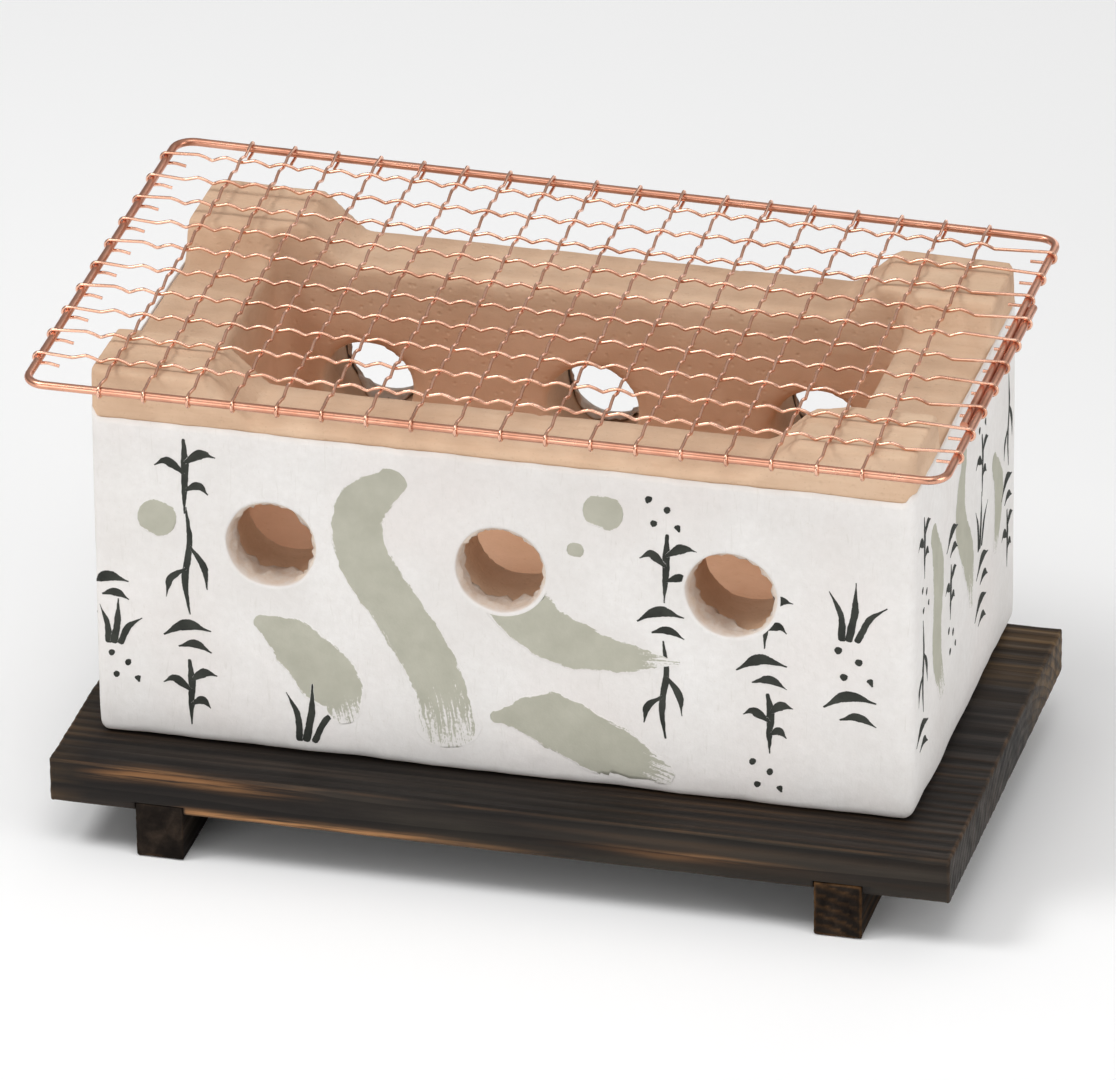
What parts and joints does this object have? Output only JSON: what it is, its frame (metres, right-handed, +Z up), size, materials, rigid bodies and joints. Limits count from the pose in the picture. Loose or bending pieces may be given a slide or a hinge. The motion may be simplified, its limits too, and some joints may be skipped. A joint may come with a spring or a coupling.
{
  "type": "tabletop charcoal grill",
  "caption": "Rectangular clay charcoal stove in a printed paper wrap, with round draught holes and corner posts, a crimped-wire grilling net on top and a dark wooden tray with feet.",
  "frame": {"origin": "on the table, at the underside of the feet, under the middle of the whole", "axes": "+X along the stove to its right-hand end, +Y from the front to the back, +Z up"},
  "size_m": [0.2846, 0.1755, 0.1555],
  "materials": {
    "clay": "unglazed, hand-finished diatomite clay",
    "paper": "matt washi paper printed with pale green brush strokes and ink marks",
    "wood": "charred and brushed softwood, dark brown",
    "copper_frame": "bright copper plate on steel wire",
    "copper_mesh": "bright copper plate on thin crimped steel wire",
    "steel": "plain steel nails"
  },
  "bodies": {
    "tray": {"tray_board": "wood", "left_foot": "wood", "right_foot": "wood", "left_foot_nails": "steel", "right_foot_nails": "steel"},
    "stove": {"clay_body": "clay", "washi_wrap": "paper"},
    "net": {"net_frame": "copper_frame", "long_wire_01": "copper_mesh", "long_wire_02": "copper_mesh", "long_wire_03": "copper_mesh", "long_wire_04": "copper_mesh", "long_wire_05": "copper_mesh", "long_wire_06": "copper_mesh", "long_wire_07": "copper_mesh", "long_wire_08": "copper_mesh", "long_wire_09": "copper_mesh", "long_wire_10": "copper_mesh", "short_wire_01": "copper_mesh", "short_wire_02": "copper_mesh", "short_wire_03": "copper_mesh", "short_wire_04": "copper_mesh", "short_wire_05": "copper_mesh", "short_wire_06": "copper_mesh", "short_wire_07": "copper_mesh", "short_wire_08": "copper_mesh", "short_wire_09": "copper_mesh", "short_wire_10": "copper_mesh", "short_wire_11": "copper_mesh", "short_wire_12": "copper_mesh", "short_wire_13": "copper_mesh", "short_wire_14": "copper_mesh", "short_wire_15": "copper_mesh", "short_wire_16": "copper_mesh", "short_wire_17": "copper_mesh", "short_wire_18": "copper_mesh"}
  },
  "joints": [
    {"name": "stove_lift", "type": "slide", "parent": "tray", "child": "stove", "axis": [0, 0, 1], "range_m": [0, 0.06]},
    {"name": "net_lift", "type": "slide", "parent": "stove", "child": "net", "axis": [0, 0, 1], "range_m": [0, 0.06]}
  ]
}
